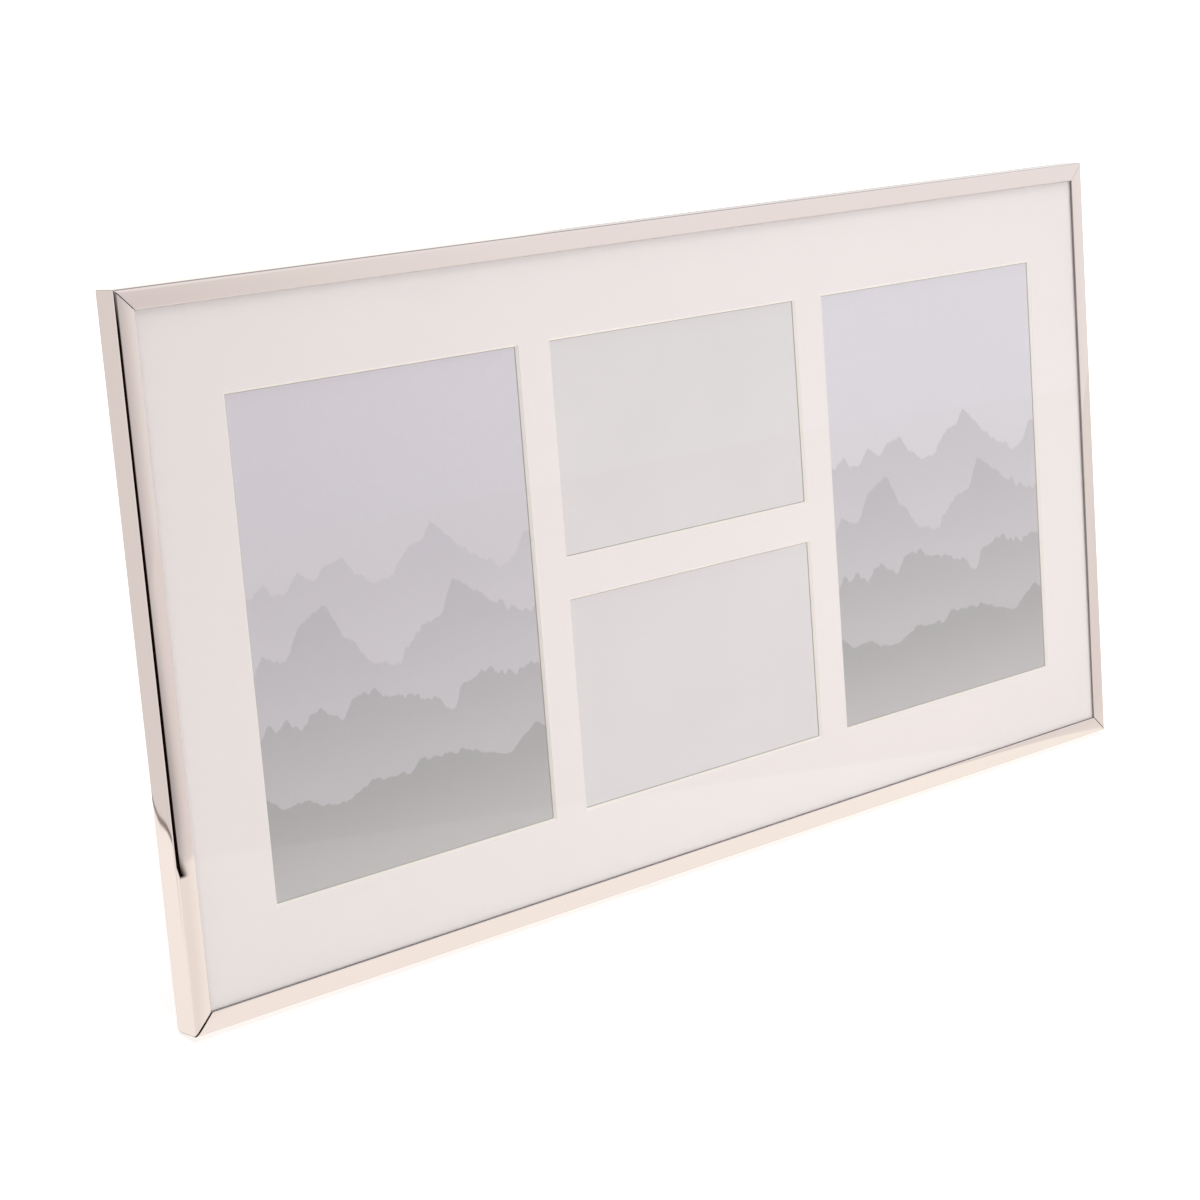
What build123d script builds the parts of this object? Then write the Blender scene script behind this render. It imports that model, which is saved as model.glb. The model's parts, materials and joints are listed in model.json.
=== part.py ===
from build123d import *
import os
from math import cos, radians, sin, tan

# A landscape photo frame with four windows, which stands on an easel strut or hangs from two rings.
# Millimetres, X to the right, Z up, the picture facing -Y, the floor at Z = 0.
# Depths are counted backwards from the rails' front face, heights up the leaning frame from its
# bottom edge, and insets from the rails' outer face towards the middle of the frame.

# Windows in the mat
window_w = 122.0  # width of every window, at the mat's face
tall_window_h = 171.0  # height of the two outer windows
window_gap = 14.0  # strip of mat between neighbouring windows
mat_border = 28.5  # mat that shows between the rails and the windows
bevel_angle = 45.0  # slope of the windows' cut edges
windows_right = 1.2  # the windows sit this far to the right of the frame's middle
windows_low = 1.1  # and this far below it

# Edge of each print beyond its window
side_overlap = 2.5
tall_overlap = 3.5
small_overlap = 5.25

# Sheets that the rails hold, from the front to the back
glass_t = 1.0
mat_t = 1.1
print_t = 0.25
card_t = 2.6
board_t = 3.0
glass_seam = 0.2  # ground edge of the glass
pack_play = 0.7  # from the edges of the sheets to the rails' ribs

# Rails, an extruded channel with a groove for the corner keys
face_w = 7.0  # front face
lip_t = 0.7  # front lip
wall_t = 1.2  # outer wall
rib_t = 0.8  # the two ribs of the key groove
rib_lip = 0.8  # how far each rib's lip covers a key
rib_margin = 0.9  # from the front lip, and from the board's back, to the nearest rib
rear_lip_t = 1.0
rear_lip_play = 0.3  # the sheets pass the rear lip by this much
front_edge_r = 1.2
lip_edge_r = 0.4
rear_edge_r = 0.5
mitre_gap = 0.16  # open seam at each corner

# Corner keys and their set screws
key_t = 1.2
key_leg = 22.0
key_corner_r = 1.0
key_play = 0.05
key_screw_r = 1.0
key_screw_inset = 16.0
key_socket_r = 0.5
key_socket_depth = 0.9

# Semi-tubular rivets
rivet_r = 1.5
rivet_head_r = 3.0
rivet_head_h = 1.0
rivet_rim_h = 0.3
rivet_flare = 0.9  # how far the spread end stands out from the shank
rivet_cone = 90.0  # degrees across the spread end
rivet_bore_r = 0.8
rivet_bore_depth = 1.6
rivet_play = 0.05

# Turn buttons that hold the back board under the rear lip
button_t = 0.8
button_play = 0.2  # from the board to the button, and from the button to its rivet's head
button_lip_play = 0.35
button_pivot = 12.0  # from the board's edge to the pivot
button_tip_play = 0.8  # from the tip to the rail's wall
button_root_r = 5.0
button_tip_r = 3.5
button_tab_w = 5.0
button_tab_h = 1.4
button_end = 82.5  # from the ends of the top and bottom rails to their buttons

# Easel strut and its hinge
lean = 9.0  # degrees that the frame leans back
strut_open = 16.0  # degrees between the open strut and the board
hinge_drop = 57.0  # from the frame's top edge to the hinge axis
hinge_w = 40.0
middle_knuckle_w = 14.0
knuckle_gap = 0.4
leaf_t = 0.8
fixed_leaf_h = 22.0
strut_leaf_h = 24.0
leaf_corner_r = 3.0
leaf_rivet_spread = 26.0  # across each leaf
leaf_rivet_pitch = 9.0  # along each leaf
leaf_rivet_margin = 5.0  # from a leaf's far edge to its outer rivets
pin_r = 1.2
pin_play = 0.05
pin_head_r = 1.7
pin_head_t = 0.6
stop_play = 0.05
strut_t = 3.0
strut_top_w = 46.0
strut_foot_w = 64.0
strut_corner_r = 6.0

# Wall hangers
hanger_spread = 100.0  # from the middle to each hanger
hanger_drop = 38.0  # from the frame's top edge to the ring's axis
strap_w = 9.0
strap_t = 0.7
strap_len = 11.0
strap_corner_r = 2.0
strap_rivet_drop = 6.5  # from the ring's axis to the rivet
ring_wire_r = 0.9
ring_play = 0.08
ring_half_w = 9.0
ring_side = 5.0  # from the axis to where the ring's round end begins
ring_corner_r = 2.5

# Picture layout
small_window_h = (tall_window_h - window_gap) / 2
frame_w = 3 * window_w + 2 * (window_gap + mat_border + face_w)
frame_h = tall_window_h + 2 * (mat_border + face_w)
mid_h = frame_h / 2
windows_mid = mid_h - windows_low
column_pitch = window_w + window_gap
row_shift = (small_window_h + window_gap) / 2
windows = {
    "left": (windows_right - column_pitch, windows_mid, tall_window_h, tall_overlap),
    "right": (windows_right + column_pitch, windows_mid, tall_window_h, tall_overlap),
    "upper": (windows_right, windows_mid + row_shift, small_window_h, small_overlap),
    "lower": (windows_right, windows_mid - row_shift, small_window_h, small_overlap),
}

# Depths through the frame
mat_depth = lip_t + glass_t
print_depth = mat_depth + mat_t
card_depth = print_depth + print_t
board_depth = card_depth + card_t
board_back = board_depth + board_t
button_depth = board_back + button_play
button_seat = button_depth + button_t + button_play
rear_lip_depth = button_depth + button_t + button_lip_play
rail_depth = rear_lip_depth + rear_lip_t
groove_front = lip_t + rib_margin + rib_t
groove_back = board_back - rib_margin - rib_t
groove_mid = (groove_front + groove_back) / 2

# Insets through a rail
key_in = wall_t + key_play
rib_lip_in = key_in + key_t
rib_in = rib_lip_in + rib_t
pack_in = rib_in + pack_play
rear_lip_in = pack_in - rear_lip_play
pack_w = frame_w - 2 * pack_in
pack_h = frame_h - 2 * pack_in
key_screw_len = rib_in - wall_t

# Turn buttons: name, pivot and the way the locked tip points
pivot_in = pack_in + button_pivot
button_reach = pivot_in - wall_t - button_tip_play
button_spread = frame_w / 2 - button_end
turn_buttons = {
    "top_left": (-button_spread, frame_h - pivot_in, (0, 1)),
    "top_right": (button_spread, frame_h - pivot_in, (0, 1)),
    "bottom_left": (-button_spread, pivot_in, (0, -1)),
    "bottom_right": (button_spread, pivot_in, (0, -1)),
    "left": (pivot_in - frame_w / 2, mid_h, (-1, 0)),
    "right": (frame_w / 2 - pivot_in, mid_h, (1, 0)),
}

# Hinge: the axis lies behind the board, and the strut's top clears the knuckles
knuckle_r = pin_r + pin_play + leaf_t
axis_depth = board_back + knuckle_r + knuckle_gap
axis_height = frame_h - hinge_drop
leaf_clear = knuckle_r + knuckle_gap
stop_reach = (axis_depth - board_back - leaf_t - stop_play) / sin(radians(strut_open))
fixed_rivets_h = axis_height + fixed_leaf_h - leaf_rivet_margin - leaf_rivet_pitch / 2
strut_rivets_h = leaf_rivet_margin + leaf_rivet_pitch / 2 - strut_leaf_h

# Hanger rings: the axis is the middle of the strap's curl
curl_r = ring_wire_r + ring_play + strap_t
ring_height = frame_h - hanger_drop
ring_depth = board_back + curl_r

# Standing pose: the rails' rear bottom edge and the strut's foot touch the floor
lean_sin = sin(radians(lean))
lean_cos = cos(radians(lean))
strut_tilt = radians(strut_open - lean)
strut_back = leaf_t + strut_t
floor_rise = rear_edge_r * (1 - lean_cos) + (rail_depth - rear_edge_r) * lean_sin
axis_rise = floor_rise + axis_height * lean_cos - axis_depth * lean_sin
strut_reach = (axis_rise + strut_back * sin(strut_tilt)) / cos(strut_tilt)
nearest_y = front_edge_r * (lean_sin + lean_cos - 1)
axis_y = axis_height * lean_sin + axis_depth * lean_cos
farthest_y = axis_y + strut_back * cos(strut_tilt) + strut_reach * sin(strut_tilt)
front = Plane(
    origin=(0, -(nearest_y + farthest_y) / 2, floor_rise),
    x_dir=(1, 0, 0),
    z_dir=(0, -lean_cos, lean_sin),
)
hinge_axis = front.from_local_coords((0, axis_height, -axis_depth))
strut_face = Plane(
    origin=hinge_axis,
    x_dir=(1, 0, 0),
    z_dir=(0, -cos(strut_tilt), -sin(strut_tilt)),
)

os.makedirs("parts", exist_ok=True)


def save(piece, label):
    """Label a finished piece and write its STEP file."""
    piece.part.label = label
    export_step(piece.part, f"parts/{label}.step")


def layer(depth):
    """Plane parallel to the frame's face, seen from the front, at a depth behind it."""
    return front.offset(-depth)


def direction(across, up):
    """Direction in the plane of the frame."""
    return front.x_dir * across + front.y_dir * up


def rear_spot(across, up, depth):
    """Plane at a point of the frame that faces backwards."""
    return Plane(front.from_local_coords((across, up, -depth)), x_dir=front.x_dir, z_dir=-front.z_dir)


def tube_section(centre, start, length, radius, mode=Mode.ADD):
    """Round bar along X that starts at a distance from the centre point."""
    with BuildSketch(Plane(centre + front.x_dir * start, x_dir=front.y_dir, z_dir=front.x_dir)) as disc:
        Circle(radius)
    extrude(disc.sketch, amount=length, mode=mode)


def rivet(seat, grip):
    """Rivet with its domed head on the seat plane and its spread, bored end a grip below it."""
    dome_h = rivet_head_h - rivet_rim_h
    dome_r = (rivet_head_r**2 + dome_h**2) / (2 * dome_h)
    flare_h = rivet_flare / tan(radians(rivet_cone / 2))
    with BuildSketch(Plane(seat.origin, x_dir=seat.x_dir, z_dir=-seat.y_dir)) as half_section:
        with BuildLine():
            Polyline(
                (0, rivet_head_h),
                (0, rivet_bore_depth - grip),
                (rivet_bore_r, rivet_bore_depth - grip),
                (rivet_bore_r, -grip),
                (rivet_r + rivet_flare, -grip),
                (rivet_r, flare_h - grip),
                (rivet_r, 0),
                (rivet_head_r, 0),
                (rivet_head_r, rivet_rim_h),
            )
            RadiusArc((rivet_head_r, rivet_rim_h), (0, rivet_head_h), -dome_r)
        make_face()
    revolve(half_section.sketch, axis=Axis(seat.origin, seat.z_dir))


def rivet_holes(seats):
    """Holes for rivets, with a countersink on each seat plane for the spread end."""
    with Locations(*seats):
        CounterSinkHole(
            radius=rivet_r + rivet_play,
            counter_sink_radius=rivet_r + rivet_flare + rivet_play,
            counter_sink_angle=rivet_cone,
        )


# Rails, each cut to a mitre at both ends
rail_section = [
    (0, 0, front_edge_r),
    (face_w, 0, lip_edge_r),
    (face_w, lip_t, 0),
    (wall_t, lip_t, 0),
    (wall_t, groove_front - rib_t, 0),
    (rib_in, groove_front - rib_t, 0),
    (rib_in, groove_front + rib_lip, 0),
    (rib_lip_in, groove_front + rib_lip, 0),
    (rib_lip_in, groove_front, 0),
    (wall_t, groove_front, 0),
    (wall_t, groove_back, 0),
    (rib_lip_in, groove_back, 0),
    (rib_lip_in, groove_back - rib_lip, 0),
    (rib_in, groove_back - rib_lip, 0),
    (rib_in, groove_back + rib_t, 0),
    (wall_t, groove_back + rib_t, 0),
    (wall_t, rear_lip_depth, 0),
    (rear_lip_in, rear_lip_depth, 0),
    (rear_lip_in, rail_depth, 0),
    (0, rail_depth, rear_edge_r),
]
rails = {
    "bottom": ((-frame_w / 2, 0), (1, 0), (0, 1), frame_w),
    "right": ((frame_w / 2, 0), (0, 1), (-1, 0), frame_h),
    "top": ((frame_w / 2, frame_h), (-1, 0), (0, -1), frame_w),
    "left": ((-frame_w / 2, frame_h), (0, -1), (1, 0), frame_h),
}
for side, (corner, run, inside, length) in rails.items():
    start = front.from_local_coords((*corner, 0))
    along = direction(*run)
    inward = direction(*inside)
    with BuildPart() as rail:
        with BuildSketch(Plane(start, x_dir=inward, z_dir=along)):
            with BuildLine():
                FilletPolyline(
                    *[(inset, -depth) for inset, depth, _ in rail_section],
                    radius=[radius for _, _, radius in rail_section],
                    close=True,
                )
            make_face()
        extrude(amount=length)
        split(bisect_by=Plane(start, z_dir=along - inward).offset(mitre_gap / 2))
        split(bisect_by=Plane(start + along * length, z_dir=-along - inward).offset(mitre_gap / 2))
    save(rail, f"rail_{side}")

# Corner keys: angles in the rails' grooves, pushed against the ribs by two set screws each
key_outline = [
    (key_in, key_in, key_corner_r),
    (key_leg, key_in, 0),
    (key_leg, rib_lip_in, 0),
    (rib_lip_in, rib_lip_in, 0),
    (rib_lip_in, key_leg, 0),
    (key_in, key_leg, 0),
]
corners = {
    "bottom_left": (-1, -1),
    "bottom_right": (1, -1),
    "top_left": (-1, 1),
    "top_right": (1, 1),
}
key_screw_seats = []
for name, (side, end) in corners.items():
    inner_x = direction(-side, 0)
    inner_y = direction(0, -end)
    outer_corner = front.from_local_coords((side * frame_w / 2, mid_h + end * mid_h, -groove_mid))
    corner_plane = Plane(outer_corner, x_dir=inner_x, z_dir=inner_x.cross(inner_y))
    seats = [
        Plane(corner_plane.from_local_coords((key_screw_inset, wall_t, 0)), z_dir=inner_y),
        Plane(corner_plane.from_local_coords((wall_t, key_screw_inset, 0)), z_dir=inner_x),
    ]
    key_screw_seats += seats
    with BuildPart() as key:
        with BuildSketch(corner_plane):
            with BuildLine():
                FilletPolyline(
                    *[(across, up) for across, up, _ in key_outline],
                    radius=[radius for _, _, radius in key_outline],
                    close=True,
                )
            make_face()
        extrude(amount=(groove_back - groove_front) / 2 - key_play, both=True)
        for seat in seats:
            with BuildSketch(seat):
                Circle(key_screw_r + key_play)
            extrude(amount=key_screw_len, mode=Mode.SUBTRACT)
    save(key, f"corner_key_{name}")

with BuildPart() as key_screws:
    for seat in key_screw_seats:
        with BuildSketch(seat):
            Circle(key_screw_r)
        extrude(amount=key_screw_len)
        with BuildSketch(seat.offset(key_screw_len)):
            RegularPolygon(key_socket_r, side_count=6)
        extrude(amount=-key_socket_depth, mode=Mode.SUBTRACT)
save(key_screws, "corner_key_screws")

# Glass with ground edges
with BuildPart() as glass:
    with BuildSketch(layer(lip_t)):
        with Locations((0, mid_h)):
            Rectangle(pack_w, pack_h)
    extrude(amount=-glass_t)
    chamfer(glass.edges(), length=glass_seam)
save(glass, "glass")

# Mat with bevelled windows, wider at the face than at the print
with BuildPart() as mat:
    with BuildSketch(layer(mat_depth)):
        with Locations((0, mid_h)):
            Rectangle(pack_w, pack_h)
    extrude(amount=-mat_t)
    with BuildSketch(layer(mat_depth)):
        for across, up, height, _ in windows.values():
            with Locations((across, up)):
                Rectangle(window_w, height)
    extrude(amount=-mat_t, taper=bevel_angle, mode=Mode.SUBTRACT)
save(mat, "mat")

# Prints, one behind each window
for name, (across, up, height, overlap) in windows.items():
    with BuildPart() as picture:
        with BuildSketch(layer(print_depth)):
            with Locations((across, up)):
                Rectangle(window_w + 2 * side_overlap, height + 2 * overlap)
        extrude(amount=-print_t)
    save(picture, f"print_{name}")

# Card that keeps the prints flat
with BuildPart() as card:
    with BuildSketch(layer(card_depth)):
        with Locations((0, mid_h)):
            Rectangle(pack_w, pack_h)
    extrude(amount=-card_t)
save(card, "insert_card")

# Rivet places: buttons at their pivots, four on each hinge leaf, one on each hanger strap
leaf_rivets = GridLocations(leaf_rivet_spread, leaf_rivet_pitch, 2, 2).local_locations
fixed_leaf_spots = [(spot.position.X, fixed_rivets_h + spot.position.Y) for spot in leaf_rivets]
strut_leaf_spots = [(spot.position.X, strut_rivets_h + spot.position.Y) for spot in leaf_rivets]
strap_spots = [(side * hanger_spread, ring_height - strap_rivet_drop) for side in (-1, 1)]
button_spots = [(across, up) for across, up, _ in turn_buttons.values()]

# Back board
with BuildPart() as back_board:
    with BuildSketch(layer(board_depth)):
        with Locations((0, mid_h)):
            Rectangle(pack_w, pack_h)
    extrude(amount=-board_t)
    spots = button_spots + fixed_leaf_spots + strap_spots
    rivet_holes([Plane(layer(board_depth).from_local_coords(spot), z_dir=front.z_dir) for spot in spots])
save(back_board, "back_board")

# Turn buttons with a bent tab for the finger, and the rivets that they turn on
for name, (across, up, outward) in turn_buttons.items():
    pivot = front.from_local_coords((across, up, -button_depth))
    plate = Plane(pivot, x_dir=direction(*outward), z_dir=-front.z_dir)
    with BuildPart() as button:
        with BuildSketch(plate):
            Circle(button_root_r)
            with Locations((button_reach - button_tip_r, 0)):
                Circle(button_tip_r)
            make_hull()
            Circle(rivet_r + rivet_play, mode=Mode.SUBTRACT)
        extrude(amount=button_t)
        with BuildSketch(plate):
            with Locations((button_t - button_root_r, 0)):
                Rectangle(button_t, button_tab_w)
        extrude(amount=button_t + button_tab_h)
    save(button, f"turn_button_{name}")

with BuildPart() as button_rivets:
    for across, up in button_spots:
        rivet(rear_spot(across, up, button_seat), grip=button_seat - board_depth)
save(button_rivets, "turn_button_rivets")

# Hinge plate: fixed leaf with the two outer knuckles, notched for the middle one
side_knuckle_w = (hinge_w - middle_knuckle_w) / 2 - knuckle_gap
with BuildPart() as hinge_plate:
    with BuildSketch(layer(board_back)):
        with Locations((0, axis_height)):
            leaf = Rectangle(hinge_w, fixed_leaf_h, align=(Align.CENTER, Align.MIN))
        fillet(leaf.vertices().group_by(Axis.Y)[-1], radius=leaf_corner_r)
        with Locations((0, axis_height)):
            Rectangle(
                middle_knuckle_w + 2 * knuckle_gap,
                leaf_clear,
                align=(Align.CENTER, Align.MIN),
                mode=Mode.SUBTRACT,
            )
        with Locations(*fixed_leaf_spots):
            Circle(rivet_r + rivet_play, mode=Mode.SUBTRACT)
    extrude(amount=-leaf_t)
    tube_section(hinge_axis, -hinge_w / 2, side_knuckle_w, knuckle_r)
    tube_section(hinge_axis, hinge_w / 2 - side_knuckle_w, side_knuckle_w, knuckle_r)
    tube_section(hinge_axis, -hinge_w / 2, hinge_w, pin_r + pin_play, mode=Mode.SUBTRACT)
save(hinge_plate, "hinge_plate")

with BuildPart() as hinge_rivets:
    for across, up in fixed_leaf_spots:
        rivet(rear_spot(across, up, board_back + leaf_t), grip=board_t + leaf_t)
save(hinge_rivets, "hinge_rivets")

# Hinge pin, headed at both ends
with BuildPart() as hinge_pin:
    tube_section(hinge_axis, -hinge_w / 2, hinge_w, pin_r)
    tube_section(hinge_axis, -hinge_w / 2 - pin_head_t, pin_head_t, pin_head_r)
    tube_section(hinge_axis, hinge_w / 2, pin_head_t, pin_head_r)
save(hinge_pin, "hinge_pin")

# Strut leaf: the middle tongue carries the knuckle and ends in the stop that meets the hinge plate
with BuildPart() as strut_leaf:
    with BuildSketch(strut_face):
        with Locations((0, -leaf_clear)):
            leaf = Rectangle(hinge_w, strut_leaf_h - leaf_clear, align=(Align.CENTER, Align.MAX))
            Rectangle(middle_knuckle_w, leaf_clear + stop_reach, align=(Align.CENTER, Align.MIN))
        fillet(leaf.vertices().group_by(Axis.Y)[0], radius=leaf_corner_r)
        with Locations(*strut_leaf_spots):
            Circle(rivet_r + rivet_play, mode=Mode.SUBTRACT)
    extrude(amount=-leaf_t)
    tube_section(hinge_axis, -middle_knuckle_w / 2, middle_knuckle_w, knuckle_r)
    tube_section(hinge_axis, -middle_knuckle_w / 2, middle_knuckle_w, pin_r + pin_play, mode=Mode.SUBTRACT)
save(strut_leaf, "strut_leaf")

# Strut: tapered board whose foot is cut level with the floor
strut_rear = Plane(strut_face.offset(-strut_back).origin, x_dir=(1, 0, 0), z_dir=-strut_face.z_dir)
with BuildPart() as strut:
    with BuildSketch(strut_face.offset(-leaf_t)) as outline:
        with BuildLine():
            Polyline(
                (-strut_top_w / 2, -leaf_clear),
                (strut_top_w / 2, -leaf_clear),
                (strut_foot_w / 2, -strut_reach),
                (-strut_foot_w / 2, -strut_reach),
                close=True,
            )
        make_face()
        fillet(outline.vertices(), radius=strut_corner_r)
    extrude(amount=-strut_t)
    split(bisect_by=Plane.XY)
    rivet_holes(
        [Plane(strut_rear.from_local_coords((x, -s, 0)), z_dir=strut_rear.z_dir) for x, s in strut_leaf_spots]
    )
save(strut, "strut")

with BuildPart() as strut_rivets:
    for spot in strut_leaf_spots:
        rivet(Plane(strut_face.from_local_coords(spot), z_dir=strut_face.z_dir), grip=strut_back)
save(strut_rivets, "strut_rivets")

# Hangers: a riveted strap curled round the bar of a ring that hangs plumb
for name, side in (("left", -1), ("right", 1)):
    ring_axis = front.from_local_coords((side * hanger_spread, ring_height, -ring_depth))
    with BuildPart() as strap:
        with BuildSketch(layer(board_back)):
            with Locations((side * hanger_spread, ring_height)):
                plate = Rectangle(strap_w, strap_len, align=(Align.CENTER, Align.MAX))
            fillet(plate.vertices().group_by(Axis.Y)[0], radius=strap_corner_r)
            with Locations((side * hanger_spread, ring_height - strap_rivet_drop)):
                Circle(rivet_r + rivet_play, mode=Mode.SUBTRACT)
        extrude(amount=-strap_t)
        tube_section(ring_axis, -strap_w / 2, strap_w, curl_r)
        tube_section(ring_axis, -strap_w / 2, strap_w, ring_wire_r + ring_play, mode=Mode.SUBTRACT)
    save(strap, f"hanger_strap_{name}")

    hanging = Plane(ring_axis, x_dir=(1, 0, 0), z_dir=(0, -1, 0))
    bar_half = ring_half_w - ring_corner_r
    with BuildPart() as ring:
        with BuildLine(hanging) as ring_path:
            Line((-bar_half, 0), (bar_half, 0))
            RadiusArc((bar_half, 0), (ring_half_w, -ring_corner_r), ring_corner_r)
            Line((ring_half_w, -ring_corner_r), (ring_half_w, -ring_side))
            RadiusArc((ring_half_w, -ring_side), (0, -ring_side - ring_half_w), ring_half_w)
            RadiusArc((0, -ring_side - ring_half_w), (-ring_half_w, -ring_side), ring_half_w)
            Line((-ring_half_w, -ring_side), (-ring_half_w, -ring_corner_r))
            RadiusArc((-ring_half_w, -ring_corner_r), (-bar_half, 0), ring_corner_r)
        with BuildSketch(Plane(ring_axis, z_dir=(1, 0, 0))):
            Circle(ring_wire_r)
        sweep()
    save(ring, f"hanger_ring_{name}")

with BuildPart() as hanger_rivets:
    for across, up in strap_spots:
        rivet(rear_spot(across, up, board_back + strap_t), grip=board_t + strap_t)
save(hanger_rivets, "hanger_rivets")
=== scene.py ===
"""Looks of a four-window photo frame on its easel strut: finishes, polished rails, studio and camera.

Lengths are millimetres until Blender takes metres. Places on the frame are given as across (to the right
from its middle), up (along the leaning face from its bottom edge) and depth (backwards from the rails'
front face). Directions round it are in degrees: azimuth to the right of straight ahead, and elevation.
"""

import json
from math import cos, pi, radians, sin, sqrt

import bpy
import numpy as np
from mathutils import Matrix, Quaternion, Vector


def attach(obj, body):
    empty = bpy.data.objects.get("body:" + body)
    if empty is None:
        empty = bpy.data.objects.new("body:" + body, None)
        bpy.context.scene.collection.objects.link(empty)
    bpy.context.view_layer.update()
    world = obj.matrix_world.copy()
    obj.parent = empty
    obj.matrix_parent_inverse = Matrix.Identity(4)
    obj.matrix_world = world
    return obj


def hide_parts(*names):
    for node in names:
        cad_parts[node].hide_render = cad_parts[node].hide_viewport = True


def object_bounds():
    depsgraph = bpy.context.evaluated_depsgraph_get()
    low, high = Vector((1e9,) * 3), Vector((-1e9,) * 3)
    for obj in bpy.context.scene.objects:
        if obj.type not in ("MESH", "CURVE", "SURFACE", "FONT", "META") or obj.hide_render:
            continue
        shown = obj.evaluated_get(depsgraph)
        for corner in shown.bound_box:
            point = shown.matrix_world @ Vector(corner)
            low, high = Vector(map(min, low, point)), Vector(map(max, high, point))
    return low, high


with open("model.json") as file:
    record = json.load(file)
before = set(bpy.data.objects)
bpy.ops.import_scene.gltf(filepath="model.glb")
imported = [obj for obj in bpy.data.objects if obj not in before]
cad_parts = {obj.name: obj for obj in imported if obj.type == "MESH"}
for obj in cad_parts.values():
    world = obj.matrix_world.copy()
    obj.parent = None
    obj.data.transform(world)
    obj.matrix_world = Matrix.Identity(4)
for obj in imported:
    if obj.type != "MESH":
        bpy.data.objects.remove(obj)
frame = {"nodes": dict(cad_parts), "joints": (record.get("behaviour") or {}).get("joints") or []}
cad_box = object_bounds()

MM = 0.001  # one millimetre in scene units

# The frame's own directions, its corner of reference and its sizes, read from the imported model
joints = {joint["name"]: joint for joint in frame["joints"]}
ACROSS = np.array((1.0, 0.0, 0.0))
BACK = np.array(joints["turn_button_left_turn"]["axis"], float)
UP = np.cross(ACROSS, BACK)
LEAN = float(np.arcsin(UP[1]))


def node_points(*names):
    """Vertices of CAD nodes as rows of an array."""
    rows = []
    for name in names:
        mesh = frame["nodes"][name].data
        row = np.empty(len(mesh.vertices) * 3)
        mesh.vertices.foreach_get("co", row)
        rows.append(row.reshape(-1, 3) / MM)
    return np.concatenate(rows)


rail_points = node_points("rail_bottom", "rail_right", "rail_top", "rail_left")
ORIGIN = BACK * (rail_points @ BACK).min() + UP * (rail_points @ UP).min()
FRAME_W = 2 * rail_points[:, 0].max()
HALF_W = FRAME_W / 2
FRAME_H = np.ptp(rail_points @ UP)
RAIL_DEPTH = np.ptp(rail_points @ BACK)
FACE_W = np.ptp(node_points("rail_bottom") @ UP)


def place(across, up, depth):
    """Point, or grid of points, for places on the frame."""
    across, up, depth = (np.asarray(value, float)[..., None] for value in (across, up, depth))
    return ORIGIN + across * ACROSS + up * UP + depth * BACK


def direction(azimuth, elevation=0.0):
    """Unit vector for a direction round the frame."""
    a, e = radians(azimuth), radians(elevation)
    return Vector((sin(a) * cos(e), -cos(a) * cos(e), sin(e)))


def depths(name):
    """Depths of a CAD node's vertices."""
    return (node_points(name) - ORIGIN) @ BACK


def ease(value):
    """Smooth step from 0 to 1 while the value goes from 0 to 1."""
    value = np.clip(value, 0, 1)
    return value * value * (3 - 2 * value)


def new_object(name, points, faces, *finishes):
    """Object at the origin with a mesh of these points and faces, and its materials."""
    mesh = bpy.data.meshes.new(name)
    mesh.from_pydata((points.reshape(-1, 3) * MM).tolist(), [], faces)
    for finish in finishes:
        mesh.materials.append(finish)
    made = bpy.data.objects.new(name, mesh)
    bpy.context.scene.collection.objects.link(made)
    return made


def ring_faces(rings, count):
    """Faces of a closed tube of rings: quads from ring to ring, then caps on the first and the last."""
    ring = np.arange(rings - 1)[:, None] * count
    step = np.arange(count)[None]
    ahead = np.roll(step, -1)
    quads = np.stack((ring + step, ring + count + step, ring + count + ahead, ring + ahead), -1)
    last_ring = step[0, ::-1] + (rings - 1) * count
    return quads.reshape(-1, 4).tolist() + [step[0].tolist(), last_ring.tolist()]


# Shader building

# A Mix node's colour sockets share their names with its other kinds, so they go by number
FROM = 6
TO = 7
BLEND = 2


def colour(code):
    """Linear colour for a shader socket from an sRGB hex value."""
    channels = np.array([int(code[i : i + 2], 16) for i in (1, 3, 5)]) / 255
    linear = np.where(channels <= 0.04045, channels / 12.92, ((channels + 0.055) / 1.055) ** 2.4)
    return (*linear.tolist(), 1.0)


def feed(tree, node, inputs):
    """Set a node's sockets: a socket as the value makes a link, anything else is the socket's value."""
    for name, value in inputs.items():
        if isinstance(value, bpy.types.NodeSocket):
            tree.links.new(value, node.inputs[name])
        else:
            node.inputs[name].default_value = value


def add(tree, kind, inputs=None, stops=(), **settings):
    """Add a shader node with its settings, its ramp's stops in hex, and its inputs' values and links."""
    node = tree.nodes.new("ShaderNode" + kind)
    for name, value in settings.items():
        setattr(node, name, value)
    for index, (position, code) in enumerate(stops):
        ramp = node.color_ramp.elements
        stop = ramp[index] if index < 2 else ramp.new(position)  # a new ramp has two stops
        stop.position = position
        stop.color = colour(code)
    feed(tree, node, inputs or {})
    return node


def begin(name):
    """New material: itself, its tree, its shader, and (across, depth, up) as a socket."""
    made = bpy.data.materials.new(name)
    made.use_nodes = True
    tree = made.node_tree
    turned = np.array([ORIGIN @ way for way in (ACROSS, BACK, UP)])
    spot = add(
        tree,
        "Mapping",
        {
            "Vector": add(tree, "TexCoord").outputs["Object"],
            "Scale": (1 / MM,) * 3,
            "Rotation": (LEAN, 0, 0),
            "Location": -turned,
        },
    )
    return made, tree, tree.nodes["Principled BSDF"], spot.outputs["Vector"]


def begin_bare(name):
    """New material without a shader: itself and its tree."""
    made = bpy.data.materials.new(name)
    made.use_nodes = True
    tree = made.node_tree
    tree.nodes.remove(tree.nodes["Principled BSDF"])
    return made, tree


# Finishes


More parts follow.
